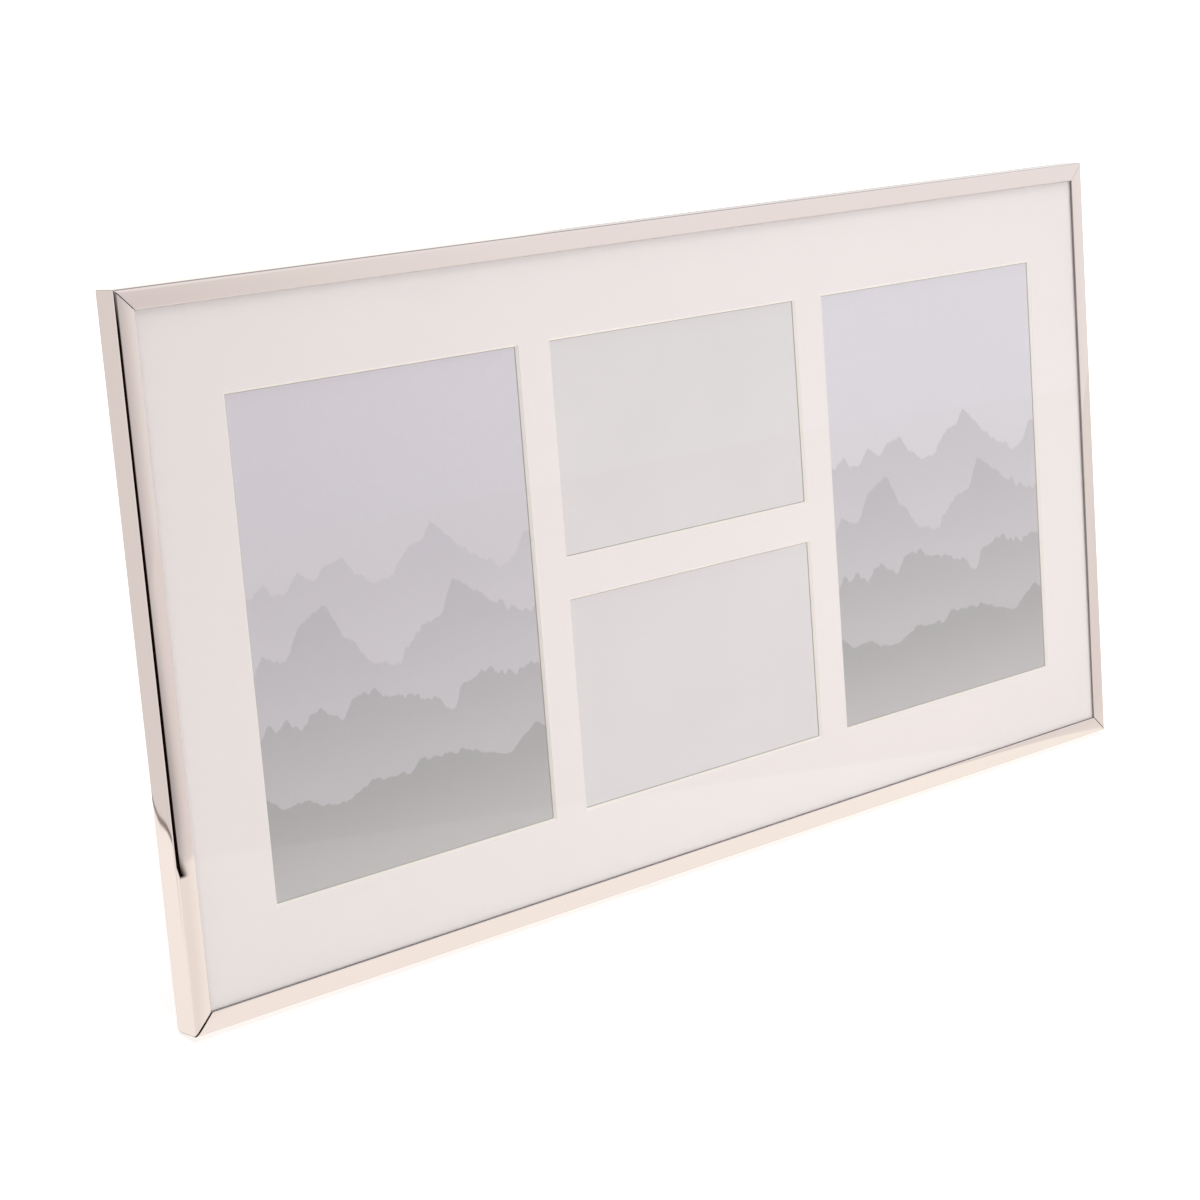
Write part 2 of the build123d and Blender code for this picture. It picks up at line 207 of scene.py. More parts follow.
def polished_nickel():
    """Nickel plate, buffed to a mirror: a warm grey metal with a trace of haze and gentle waviness."""
    made, tree, shader, spot = begin("polished_nickel_plate")
    haze_size = 9.0
    bloom_size = 70.0
    wave_size = 60.0
    wave_height = 0.02
    haze = add(tree, "TexNoise", {"Vector": spot, "Scale": 1 / haze_size, "Detail": 4.0})
    bloom = add(tree, "TexNoise", {"Vector": spot, "Scale": 1 / bloom_size, "Detail": 1.0})
    waves = add(tree, "TexNoise", {"Vector": spot, "Scale": 1 / wave_size, "Detail": 0.0})
    tone = add(
        tree,
        "Mix",
        {"Factor": bloom.outputs["Fac"], FROM: colour("#EADEDA"), TO: colour("#EDE1DD")},
        data_type="RGBA",
    )
    rough = add(tree, "MapRange", {"Value": haze.outputs["Fac"], "To Min": 0.02, "To Max": 0.06})
    swell = add(
        tree,
        "Bump",
        {"Height": waves.outputs["Fac"], "Strength": 1.0, "Distance": wave_height * MM},
    )
    feed(
        tree,
        shader,
        {
            "Base Color": tone.outputs[BLEND],
            "Metallic": 1.0,
            "Roughness": rough.outputs["Result"],
            "Normal": swell.outputs["Normal"],
        },
    )
    return made


def unbuffed_plate():
    """The rails' lip edges: the same plate left unbuffed, dull and grey with fine shear lines."""
    made, tree, shader, spot = begin("unbuffed_plate")
    line_length = 2.5
    line_pitch = 0.125
    stretch = (1 / line_length, 1 / line_pitch, 1 / line_length)
    drawn_out = add(tree, "Mapping", {"Vector": spot, "Scale": stretch})
    lines = add(tree, "TexNoise", {"Vector": drawn_out.outputs["Vector"], "Scale": 1.0, "Detail": 2.0})
    tone = add(
        tree,
        "Mix",
        {"Factor": lines.outputs["Fac"], FROM: colour("#8F857E"), TO: colour("#ADA39C")},
        data_type="RGBA",
    )
    feed(tree, shader, {"Base Color": tone.outputs[BLEND], "Metallic": 1.0, "Roughness": 0.45})
    return made


def mill_steel():
    """Inside of the rails, left as rolled: dark, dull steel with a patchy oil film."""
    made, tree, shader, spot = begin("mill_steel")
    film_size = 5.0
    film = add(tree, "TexNoise", {"Vector": spot, "Scale": 1 / film_size, "Detail": 3.0})
    tone = add(
        tree,
        "Mix",
        {"Factor": film.outputs["Fac"], FROM: colour("#3B352F"), TO: colour("#544C45")},
        data_type="RGBA",
    )
    feed(tree, shader, {"Base Color": tone.outputs[BLEND], "Metallic": 1.0, "Roughness": 0.5})
    return made


def float_glass():
    """Clear float glass, fire-polished: see-through, with a green trace and a breath of wiped haze."""
    made, tree, shader, spot = begin("clear_float_glass")
    wipe_size = 45.0
    wipe = add(
        tree,
        "TexNoise",
        {"Vector": spot, "Scale": 1 / wipe_size, "Detail": 3.0, "Distortion": 1.0},
    )
    haze = add(
        tree,
        "MapRange",
        {"Value": wipe.outputs["Fac"], "From Min": 0.45, "From Max": 0.8, "To Min": 0.0, "To Max": 0.02},
    )
    feed(
        tree,
        shader,
        {
            "Base Color": colour("#FEFFFE"),
            "Roughness": haze.outputs["Result"],
            "IOR": 1.52,
            "Transmission Weight": 1.0,
        },
    )
    # Light passes straight through, so that the sheets behind the pane are lit as in air
    rays = add(tree, "LightPath").outputs
    passes = add(
        tree,
        "Math",
        {0: rays["Is Shadow Ray"], 1: rays["Is Diffuse Ray"]},
        operation="MAXIMUM",
    )
    open_way = add(tree, "BsdfTransparent", {"Color": colour("#FDFEFD")})
    pane = add(
        tree,
        "MixShader",
        {0: passes.outputs["Value"], 1: shader.outputs["BSDF"], 2: open_way.outputs["BSDF"]},
    )
    feed(tree, tree.nodes["Material Output"], {"Surface": pane.outputs["Shader"]})
    return made


def mat_board(depth, thickness):
    """Cut mat board: a faintly toothed white face, a cream core on the bevels, a grey paper back that is
    partly painted shade.
    """
    made, tree, shader, spot = begin("mat_board")
    tooth_size = 1.6  # paper tooth is about 0.2 mm; drawn coarser to show
    tooth_height = 0.03
    cloud_size = 90.0
    skin = 0.06  # paper of the face
    back_and_shade_band = 0.25  # the paper back is half as thick; drawn coarser to show, as a band of painted contact shade
    tooth = add(tree, "TexNoise", {"Vector": spot, "Scale": 1 / tooth_size, "Detail": 3.0})
    cloud = add(tree, "TexNoise", {"Vector": spot, "Scale": 1 / cloud_size, "Detail": 2.0})
    tone = add(
        tree,
        "Mix",
        {"Factor": cloud.outputs["Fac"], FROM: colour("#F0E5E6"), TO: colour("#F4E9EA")},
        data_type="RGBA",
    )
    way_in = add(tree, "SeparateXYZ", {"Vector": spot}).outputs["Y"]
    # The grey paper back on the bevels' foot is partly painted shade: a dark band where the prints meet the
    # bevels
    for start, code in ((depth + skin, "#FBF1EC"), (depth + thickness - back_and_shade_band, "#A39E98")):
        below = add(
            tree,
            "MapRange",
            {"Value": way_in, "From Min": start - skin / 2, "From Max": start + skin / 2},
        )
        tone = add(
            tree,
            "Mix",
            {"Factor": below.outputs["Result"], FROM: tone.outputs[BLEND], TO: colour(code)},
            data_type="RGBA",
        )
    grain = add(
        tree,
        "Bump",
        {"Height": tooth.outputs["Fac"], "Strength": 0.35, "Distance": tooth_height * MM},
    )
    feed(
        tree,
        shader,
        {
            "Base Color": tone.outputs[BLEND],
            "Roughness": 0.85,
            "Specular IOR Level": 0.25,
            "Normal": grain.outputs["Normal"],
        },
    )
    return made


satin_size = 1.2  # print screen and paper satin are about 0.1 mm; drawn coarser to show
satin_height = 0.01


def satin_paper(tree, shader, tone, grain):
    """Satin photo paper: a soft sheen over this tone, with the paper's fine grain in it."""
    relief = add(tree, "Bump", {"Height": grain, "Strength": 0.2, "Distance": satin_height * MM})
    feed(
        tree,
        shader,
        {
            "Base Color": tone,
            "Roughness": 0.42,
            "Specular IOR Level": 0.4,
            "Normal": relief.outputs["Normal"],
        },
    )


# Ridges of a tall print: crest height and swell as shares of its height, width of the swells, and the
# tones of crest and fog
ridges = (
    (0.10, 0.16, 46.0, "#C5BEC7", "#CDC6CE"),
    (-0.02, 0.14, 33.0, "#BAB4BB", "#C8C1C8"),
    (-0.15, 0.12, 27.0, "#AFA9AF", "#C1BBC1"),
    (-0.30, 0.09, 38.0, "#A5A0A4", "#BDB7BA"),
)
ridge_step = 7.3  # parts the ridges' outlines on the noise that they share
crest_out = -0.25  # a crest's soft edge, from outside it to inside
crest_in = 0.35
fog_reach = 0.2  # the fog below a crest is full this share of the print's height lower
sky_low = -0.1  # the sky changes its tone between these shares of the height
sky_high = 0.5


def hill_print(name, across, up, height, low_sky, high_sky):
    """Satin paper printed with misty hills: ridges that darken towards the viewer, with fog between."""
    made, tree, shader, spot = begin(name)
    shifted = add(tree, "Mapping", {"Vector": spot, "Location": (-across, 0, -up)})
    parts = add(tree, "SeparateXYZ", {"Vector": shifted.outputs["Vector"]}).outputs
    rise = parts["Z"]
    sky = add(
        tree,
        "MapRange",
        {"Value": rise, "From Min": sky_low * height, "From Max": sky_high * height},
        interpolation_type="SMOOTHSTEP",
    )
    picture = add(
        tree,
        "Mix",
        {"Factor": sky.outputs["Result"], FROM: colour(low_sky), TO: colour(high_sky)},
        data_type="RGBA",
    )
    for number, (crest, swell, width, near, fog) in enumerate(ridges, 1):
        phase = add(
            tree,
            "Math",
            {0: parts["X"], 1: 1 / width, 2: ridge_step * number},
            operation="MULTIPLY_ADD",
        )
        outline = add(
            tree,
            "TexNoise",
            {"W": phase.outputs["Value"], "Scale": 1.0, "Detail": 6.0, "Roughness": 0.5},
            noise_dimensions="1D",
        )
        line = add(
            tree,
            "Math",
            {0: outline.outputs["Fac"], 1: 2 * swell * height, 2: (crest - swell) * height},
            operation="MULTIPLY_ADD",
        )
        under = add(tree, "Math", {0: line.outputs["Value"], 1: rise}, operation="SUBTRACT")
        mask = add(
            tree,
            "MapRange",
            {"Value": under.outputs["Value"], "From Min": crest_out, "From Max": crest_in},
            interpolation_type="SMOOTHSTEP",
        )
        fog_start = (crest + swell / 2) * height
        fog_end = (crest - fog_reach) * height
        sunk = add(
            tree,
            "MapRange",
            {"Value": rise, "From Min": fog_start, "From Max": fog_end},
            interpolation_type="SMOOTHSTEP",
        )
        tone = add(
            tree,
            "Mix",
            {"Factor": sunk.outputs["Result"], FROM: colour(near), TO: colour(fog)},
            data_type="RGBA",
        )
        picture = add(
            tree,
            "Mix",
            {"Factor": mask.outputs["Result"], FROM: picture.outputs[BLEND], TO: tone.outputs[BLEND]},
            data_type="RGBA",
        )
    grain = add(tree, "TexNoise", {"Vector": spot, "Scale": 1 / satin_size, "Detail": 1.0}).outputs["Fac"]
    speck = add(tree, "MapRange", {"Value": grain, "To Min": 0.98, "To Max": 1.02})
    printed = add(
        tree,
        "VectorMath",
        {0: picture.outputs[BLEND], "Scale": speck.outputs["Result"]},
        operation="SCALE",
    )
    satin_paper(tree, shader, printed.outputs["Vector"], grain)
    return made


def plain_print():
    """Satin photo paper in an even light grey, with the soft mottle of a printed tint."""
    made, tree, shader, spot = begin("small_print_paper")
    mottle_size = 40.0
    mottle = add(tree, "TexNoise", {"Vector": spot, "Scale": 1 / mottle_size, "Detail": 2.0})
    tone = add(
        tree,
        "Mix",
        {"Factor": mottle.outputs["Fac"], FROM: colour("#DDD6D9"), TO: colour("#E3DCDF")},
        data_type="RGBA",
    )
    grain = add(tree, "TexNoise", {"Vector": spot, "Scale": 1 / satin_size, "Detail": 1.0}).outputs["Fac"]
    satin_paper(tree, shader, tone.outputs[BLEND], grain)
    return made


def grey_card():
    """Recycled grey card: matt, with darker and lighter fibres pressed into it."""
    made, tree, shader, spot = begin("grey_card")
    fibre_size = 0.8
    fibres = add(tree, "TexNoise", {"Vector": spot, "Scale": 1 / fibre_size, "Detail": 4.0})
    tone = add(
        tree,
        "Mix",
        {"Factor": fibres.outputs["Fac"], FROM: colour("#8E8A84"), TO: colour("#A9A59E")},
        data_type="RGBA",
    )
    feed(tree, shader, {"Base Color": tone.outputs[BLEND], "Roughness": 0.9, "Specular IOR Level": 0.2})
    return made


def black_faced_fibreboard(name, facing):
    """Fibreboard faced with black pebble-grained paper; its sawn edges show the brown pressed fibres."""
    made, tree, shader, spot = begin(name)
    pebble_size = 1.1  # the paper's pebbles are about 0.5 mm; drawn coarser to show
    pebble_height = 0.12
    rub_size = 30.0
    fibre_size = 0.7
    pebbles = add(tree, "TexVoronoi", {"Vector": spot, "Scale": 1 / pebble_size}, feature="SMOOTH_F1")
    rub = add(tree, "TexNoise", {"Vector": spot, "Scale": 1 / rub_size, "Detail": 3.0})
    fibres = add(tree, "TexNoise", {"Vector": spot, "Scale": 1 / fibre_size, "Detail": 4.0})
    paper = add(
        tree,
        "Mix",
        {"Factor": rub.outputs["Fac"], FROM: colour("#1C1B1B"), TO: colour("#2A2928")},
        data_type="RGBA",
    )
    sawn = add(
        tree,
        "Mix",
        {"Factor": fibres.outputs["Fac"], FROM: colour("#5E4634"), TO: colour("#8A6B50")},
        data_type="RGBA",
    )
    outward = add(tree, "TexCoord").outputs["Normal"]
    flat = add(tree, "VectorMath", {0: outward, 1: facing}, operation="DOT_PRODUCT")
    flat = add(tree, "Math", {0: flat.outputs["Value"]}, operation="ABSOLUTE")
    covered = add(tree, "MapRange", {"Value": flat.outputs["Value"], "From Min": 0.5, "From Max": 0.7})
    tone = add(
        tree,
        "Mix",
        {"Factor": covered.outputs["Result"], FROM: sawn.outputs[BLEND], TO: paper.outputs[BLEND]},
        data_type="RGBA",
    )
    rough = add(tree, "MapRange", {"Value": rub.outputs["Fac"], "To Min": 0.5, "To Max": 0.7})
    grain = add(
        tree,
        "Bump",
        {"Height": pebbles.outputs["Distance"], "Strength": 0.6, "Distance": pebble_height * MM},
    )
    feed(
        tree,
        shader,
        {
            "Base Color": tone.outputs[BLEND],
            "Roughness": rough.outputs["Result"],
            "Specular IOR Level": 0.4,
            "Normal": grain.outputs["Normal"],
        },
    )
    return made


def zinc_plate():
    """Bright zinc-plated steel, stamped: cool silver with a faint blue and straw passivation bloom."""
    made, tree, shader, spot = begin("zinc_plated_steel")
    bloom_size = 6.0
    bloom = add(tree, "TexNoise", {"Vector": spot, "Scale": 1 / bloom_size, "Detail": 3.0}).outputs["Fac"]
    tone = add(tree, "ValToRGB", {"Fac": bloom}, stops=((0.35, "#B9BEC6"), (0.65, "#CFCABD")))
    rough = add(tree, "MapRange", {"Value": bloom, "To Min": 0.22, "To Max": 0.4})
    feed(
        tree,
        shader,
        {"Base Color": tone.outputs["Color"], "Metallic": 1.0, "Roughness": rough.outputs["Result"]},
    )
    return made


def drawn_wire():
    """Bright drawn steel wire: clean grey metal with fine die marks."""
    made, tree, shader, spot = begin("bright_steel_wire")
    mark_size = 0.6
    marks = add(tree, "TexNoise", {"Vector": spot, "Scale": 1 / mark_size, "Detail": 2.0}).outputs["Fac"]
    tone = add(
        tree,
        "Mix",
        {"Factor": marks, FROM: colour("#A9A9AC"), TO: colour("#C9C9CB")},
        data_type="RGBA",
    )
    rough = add(tree, "MapRange", {"Value": marks, "To Min": 0.2, "To Max": 0.36})
    feed(
        tree,
        shader,
        {"Base Color": tone.outputs[BLEND], "Metallic": 1.0, "Roughness": rough.outputs["Result"]},
    )
    return made


def rivet_nickel():
    """Barrel-plated nickel: bright heads with the small dents of tumbling."""
    made, tree, shader, spot = begin("nickel_plated_rivets")
    dent_size = 0.9
    dent_depth = 0.03
    dents = add(tree, "TexNoise", {"Vector": spot, "Scale": 1 / dent_size, "Detail": 2.0}).outputs["Fac"]
    tone = add(
        tree,
        "Mix",
        {"Factor": dents, FROM: colour("#C4BDB4"), TO: colour("#DAD4CB")},
        data_type="RGBA",
    )
    rough = add(tree, "MapRange", {"Value": dents, "To Min": 0.15, "To Max": 0.3})
    worn = add(tree, "Bump", {"Height": dents, "Strength": 0.3, "Distance": dent_depth * MM})
    feed(
        tree,
        shader,
        {
            "Base Color": tone.outputs[BLEND],
            "Metallic": 1.0,
            "Roughness": rough.outputs["Result"],
            "Normal": worn.outputs["Normal"],
        },
    )
    return made


def black_oxide():
    """Black-oxidised steel: a dark, slightly oily metal."""
    made, tree, shader, spot = begin("black_oxide_steel")
    oil_size = 0.7
    oil = add(tree, "TexNoise", {"Vector": spot, "Scale": 1 / oil_size, "Detail": 2.0}).outputs["Fac"]
    tone = add(
        tree,
        "Mix",
        {"Factor": oil, FROM: colour("#262526"), TO: colour("#3A3838")},
        data_type="RGBA",
    )
    rough = add(tree, "MapRange", {"Value": oil, "To Min": 0.3, "To Max": 0.5})
    feed(
        tree,
        shader,
        {"Base Color": tone.outputs[BLEND], "Metallic": 1.0, "Roughness": rough.outputs["Result"]},
    )
    return made


# Polished rails

glass_depths = depths("glass")
lip_t = glass_depths.min()  # front lip
wall_t = 1.2  # outer wall
rear_lip_t = 1.0
rear_lip_in = 3.65
rib_lip_in = 2.45  # the two ribs that hold the corner keys
rib_in = 3.25
rib_t = 0.8
rib_lip = 0.8
rib_margin = 0.9  # from the front lip to the first rib
groove_front = lip_t + rib_margin + rib_t
groove_back = 6.95
front_edge_r = 1.2
lip_edge_r = 0.4
rear_edge_r = 0.5
burr_r = 0.06  # every other corner
front_crown = 0.12  # how far a face falls away towards its edges, and the power that it falls with
front_power = 2
side_crown = 0.025
side_power = 4
end_break = 0.12  # broken edge of the mitre cuts
corner_steps = 12  # points on each rounded corner
run_steps = 8  # points on each straight run
rail_steps = 16  # rings along a rail
end_rings = 5  # rings that roll over the broken edge at each end
# Open seam at each mitre, between the two rails
mitre_gaps = {"bottom_left": 0.75, "bottom_right": 0.26, "top_right": 0.04, "top_left": 0.26}

# Corners of the section as inset, depth and radius, from the outer front edge round by the lips' inside
rail_corners = np.array(
    [
        (0, 0, front_edge_r),
        (FACE_W, 0, lip_edge_r),
        (FACE_W, lip_t, burr_r),
        (wall_t, lip_t, burr_r),
        (wall_t, groove_front - rib_t, burr_r),
        (rib_in, groove_front - rib_t, burr_r),
        (rib_in, groove_front + rib_lip, burr_r),
        (rib_lip_in, groove_front + rib_lip, burr_r),
        (rib_lip_in, groove_front, burr_r),
        (wall_t, groove_front, burr_r),
        (wall_t, groove_back, burr_r),
        (rib_lip_in, groove_back, burr_r),
        (rib_lip_in, groove_back - rib_lip, burr_r),
        (rib_in, groove_back - rib_lip, burr_r),
        (rib_in, groove_back + rib_t, burr_r),
        (wall_t, groove_back + rib_t, burr_r),
        (wall_t, RAIL_DEPTH - rear_lip_t, burr_r),
        (rear_lip_in, RAIL_DEPTH - rear_lip_t, burr_r),
        (rear_lip_in, RAIL_DEPTH, burr_r),
        (0, RAIL_DEPTH, rear_edge_r),
    ]
)
lip_corner = 2  # the corner behind the front lip, and the rear lip's last one
rear_corner = 18

rail_finishes = (polished_nickel(), unbuffed_plate(), mill_steel())
BUFFED, UNBUFFED, AS_ROLLED = range(3)  # places in rail_finishes


def rail_section(arc_points, run_points):
    """Closed section of a rail as rows of (inset, depth), with its outward normals.

    Each square corner is a quarter arc about a centre one radius inside it, or outside it where the
    section turns the other way, and each straight run is divided evenly. The front and the outer face
    are then crowned: a point moves inwards with a power of its distance from the face's middle, less so
    the further it lies below the face.
    """
    corners, radii = rail_corners[:, :2], rail_corners[:, 2, None]
    runs = np.roll(corners, -1, 0) - corners
    runs /= np.linalg.norm(runs, axis=1, keepdims=True)
    outward = np.stack((runs[:, 1], -runs[:, 0]), 1)
    before = np.roll(outward, 1, 0)
    bulge = np.sign(before[:, 0] * outward[:, 1] - before[:, 1] * outward[:, 0])[:, None]
    angle = np.linspace(0, pi / 2, arc_points)[None, :, None]
    arc_normals = before[:, None] * np.cos(angle) + outward[:, None] * np.sin(angle)
    centres = corners - bulge * radii * (before + outward)
    arcs = centres[:, None] + (bulge * radii)[:, None] * arc_normals
    share = (np.arange(run_points) + 1)[None, :, None] / (run_points + 1)
    straights = arcs[:, -1:] * (1 - share) + np.roll(arcs, -1, 0)[:, :1] * share
    points = np.concatenate((arcs, straights), 1).reshape(-1, 2)
    run_normals = np.repeat(outward[:, None], run_points, 1)
    normals = np.concatenate((arc_normals, run_normals), 1).reshape(-1, 2)
    for along, into, size, crown, power, skin in (
        (0, 1, FACE_W, front_crown, front_power, lip_t),
        (1, 0, RAIL_DEPTH, side_crown, side_power, wall_t),
    ):
        off = 2 * points[:, along] / size - 1
        fade = np.clip(1 - points[:, into] / skin, 0, 1)
        slope = 2 * power * crown * off ** (power - 1) / size * fade
        squeeze = np.where(fade > 0, 1 - crown * off**power / skin, 1)
        normals[:, along] = normals[:, along] * squeeze - slope * normals[:, into]
        points[:, into] += crown * off**power * fade
    normals /= np.linalg.norm(normals, axis=1, keepdims=True)
    return points, normals


def make_rail(name, corner, run, inside, length, gaps):
    """One mitred rail: the section carried along its run, with each end cut at 45 degrees.

    A ring near an end sits where the section's inset meets the mitre. The last rings roll over: they
    close on the cut by the sine of a quarter turn and sink below the faces by its cosine.
    """
    section, facing = rail_section(corner_steps, run_steps)
    inset = section[:, 0]
    along = run[0] * ACROSS + run[1] * UP
    inward = inside[0] * ACROSS + inside[1] * UP
    section_plane = np.stack((inward, BACK))
    turn = np.linspace(pi / 2, 0, end_rings)
    closing = end_break * (1 - np.sin(turn))
    sinking = end_break * (1 - np.cos(turn))
    share = np.linspace(0, 1, rail_steps)
    share = np.concatenate((np.zeros(end_rings - 1), share, np.ones(end_rings - 1)))
    end_off = np.concatenate((closing[:-1], np.full(rail_steps, end_break), closing[-2::-1]))
    sink = np.concatenate((sinking[:-1], np.zeros(rail_steps), sinking[-2::-1]))
    tilt = np.concatenate((np.sin(turn[:-1]), np.zeros(rail_steps), -np.sin(turn[-2::-1])))
    first = inset + gaps[0] / sqrt(2) + end_off[:, None]
    last = length - inset - gaps[1] / sqrt(2) - end_off[:, None]
    travel = first * (1 - share[:, None]) + last * share[:, None]
    faces_out = facing @ section_plane
    points = (
        place(*corner, 0)
        + travel[..., None] * along
        + section @ section_plane
        - sink[:, None, None] * faces_out
    )
    normals = faces_out * np.sqrt(1 - tilt**2)[:, None, None] - tilt[:, None, None] * along
    rings, count = travel.shape
    rail = new_object(name, points, ring_faces(rings, count), *rail_finishes)
    # Buffed from the outer rear edge round to the front lip's edge; the groove and the cuts are as rolled
    step = np.arange(count)
    block = corner_steps + run_steps
    buffed = (step < block + corner_steps // 2) | (step >= rear_corner * block + corner_steps)
    hidden = (step >= lip_corner * block + corner_steps) & (step < (rear_corner - 1) * block)
    finish_of = np.select((buffed, hidden), (BUFFED, AS_ROLLED), UNBUFFED)
    slots = np.concatenate((np.tile(finish_of, rings - 1), (AS_ROLLED, AS_ROLLED)))
    rail.data.polygons.foreach_set("material_index", slots.astype(np.int32))
    rail.data.polygons.foreach_set("use_smooth", np.ones(len(slots), bool))
    rail.data.normals_split_custom_set_from_vertices(normals.reshape(-1, 3).tolist())
    return rail


# Each rail's starting corner, the way it runs, the way to its inside, its length and its seams
rails = {
    "bottom": ((-HALF_W, 0), (1, 0), (0, 1), FRAME_W, ("bottom_left", "bottom_right")),
    "right": ((HALF_W, 0), (0, 1), (-1, 0), FRAME_H, ("bottom_right", "top_right")),
    "top": ((HALF_W, FRAME_H), (-1, 0), (0, -1), FRAME_W, ("top_right", "top_left")),
    "left": ((-HALF_W, FRAME_H), (0, -1), (1, 0), FRAME_H, ("top_left", "bottom_left")),
}
for side, (corner, run, inside, length, seams) in rails.items():
    gaps = [mitre_gaps[seam] for seam in seams]
    rail = make_rail(f"polished_rail_{side}", corner, run, inside, length, gaps)
    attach(rail, "frame")
    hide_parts(f"rail_{side}")

# Glass pane

glass_seam = 0.2  # ground edge
air_film = 0.05  # between the glass and the mat, which would otherwise share one surface
glass_finish = float_glass()
quarters = np.array(((-1, -1), (1, -1), (1, 1), (-1, 1)))  # the corners of a rectangle about its middle


def make_pane(name, front, back):
    """Glass pane: the sheet's rectangle carried from front to back, drawn in by the seam at both ends."""
    sheet = node_points("glass") - ORIGIN
    reach = np.array([np.abs(sheet @ ACROSS).max(), np.ptp(sheet @ UP) / 2])
    inset = np.array((glass_seam, 0, 0, glass_seam))
    depth = np.array((front, front + glass_seam, back - glass_seam, back))
    spread = quarters[None] * (reach - inset[:, None, None])
    points = place(spread[..., 0], spread[..., 1] + FRAME_H / 2, depth[:, None])
    return new_object(name, points, ring_faces(len(depth), len(quarters)), glass_finish)


pane = make_pane("glass_pane", lip_t, glass_depths.max() - air_film)
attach(pane, "frame")
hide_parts("glass")

# Finishes of the CAD nodes

mat_depths = depths("mat")
finishes = {
    "polished_nickel": rail_finishes[BUFFED],
    "zinc_plated_steel": zinc_plate(),
    "black_oxide_steel": black_oxide(),
    "bright_steel_wire": drawn_wire(),
    "nickel_plated_rivets": rivet_nickel(),
    "clear_glass": glass_finish,
    "mat_board": mat_board(mat_depths.min(), np.ptp(mat_depths)),
    "small_print_paper": plain_print(),
    "grey_card": grey_card(),
}
for node in frame["nodes"].values():
    slot = node.material_slots[0]
    if slot.material.name in finishes:
        slot.material = finishes[slot.material.name]

for side, low_sky, high_sky in (("left", "#CEC7CE", "#D6CED9"), ("right", "#D6CFD7", "#DCD5DF")):
    name = f"print_{side}"
    spread = (node_points(name) - ORIGIN) @ np.stack((ACROSS, UP), 1)
    low, high = spread.min(0), spread.max(0)
    middle = (low + high) / 2
    picture = hill_print(f"tall_print_paper_{side}", *middle, high[1] - low[1], low_sky, high_sky)
    frame["nodes"][name].material_slots[0].material = picture

for name in ("back_board", "strut"):
    points = node_points(name)
    thinnest = np.linalg.svd(points - points.mean(0), full_matrices=False)[2][2]
    finish = black_faced_fibreboard(f"black_faced_fibreboard_{name}", thinnest)
    frame["nodes"][name].material_slots[0].material = finish

# Studio floor, which mirrors show as a glowing cream sheet on a table: painted light and shade

tent_opening = direction(-15)  # the side where the light tent is open
sheet_left_way = direction(-78)
sheet_left = 290.0  # the sheet's edge left of the frame, this far from the frame's middle
sheet_left_blur = 1.0
sheet_left_start = 30.0  # that edge begins beside the frame's front, and is full this far behind it
sheet_edge = 2.6  # its shaded thickness
sheet_front_way = direction(53.9)
sheet_front = 216.0  # its slanting edge before the frame, this far from the frame's middle
sheet_front_blur = 12.0
sheet_reach = 400.0  # its tones span this far left and right of the frame's middle
sheet_tones = ((0.12, "#FEFCF7"), (0.25, "#FAF8F3"), (0.75, "#FFFFF8"))
sheet_edge_tone = "#817671"
# Painted shade of a dip in the sheet before the left rail, which marks off the front of its foot: tones
# from left to right
dip_shade_tones = ((0.04, "#FFFFFF"), (0.12, "#F5F3F2"), (0.75, "#F5F3F2"), (0.82, "#FFFFFF"))
dip_shade_full = -0.6  # depth share of the bearings from the rail's foot where the painted dip shade is full
dip_shade_end = -0.2  # and where it ends
# Painted light and shade of the table round the left rail's foot, darkest towards the tent's opening: tones
# from straight away from the opening to towards it
table_shade_tones = (
    (0.30, "#E1DEDC"),
    (0.39, "#ECEBE7"),
    (0.45, "#E6E2E1"),
    (0.52, "#E6E2E1"),
    (0.67, "#E9E8E5"),
    (0.80, "#E6E2E1"),
    (0.85, "#E5E1E0"),
    (0.885, "#CBC9C7"),
    (0.94, "#B4B0B0"),
    (1.00, "#8A8888"),
)
mirror_glow_level = 1.1  # strength of the painted glow that stands for the lit sheet and table in mirrors
floor_lift = 0.5  # glow that whitens the floor for the eye near the frame
floor_lift_near = 300.0  # from here on it grows
floor_lift_far = 1200.0  # and here it is full
floor_half = 4000.0
floor_gap = 0.1  # below the frame


def sheet_limits(tree, spot, parts):
    """Masks on the floor: past the sheet's edges, and on the shaded thickness of its left edge."""
    left_of = add(tree, "VectorMath", {0: spot, 1: sheet_left_way}, operation="DOT_PRODUCT")
    out_left = left_of.outputs["Value"]
    front_of = add(tree, "VectorMath", {0: spot, 1: sheet_front_way}, operation="DOT_PRODUCT")
    beside = add(
        tree,
        "MapRange",
        {"Value": out_left, "From Min": sheet_left * MM, "From Max": (sheet_left + sheet_left_blur) * MM},
    )
    behind = add(
        tree,
        "MapRange",
        {"Value": parts["Y"], "From Min": 0.0, "From Max": sheet_left_start * MM},
    ).outputs["Result"]
    beside = add(tree, "Math", {0: beside.outputs["Result"], 1: behind}, operation="MULTIPLY")
    ahead = add(
        tree,
        "MapRange",
        {
            "Value": front_of.outputs["Value"],
            "From Min": sheet_front * MM,
            "From Max": (sheet_front + sheet_front_blur) * MM,
        },
    )
    past = add(
        tree,
        "Math",
        {0: beside.outputs["Value"], 1: ahead.outputs["Result"]},
        operation="MAXIMUM",
    )
    edge = add(
        tree,
        "Math",
        {0: out_left, 1: (sheet_left + sheet_edge / 2) * MM, 2: sheet_edge / 2 * MM},
        operation="COMPARE",
    )
    edge = add(tree, "Math", {0: edge.outputs["Value"], 1: behind}, operation="MULTIPLY")
    return past.outputs["Value"], edge.outputs["Value"]


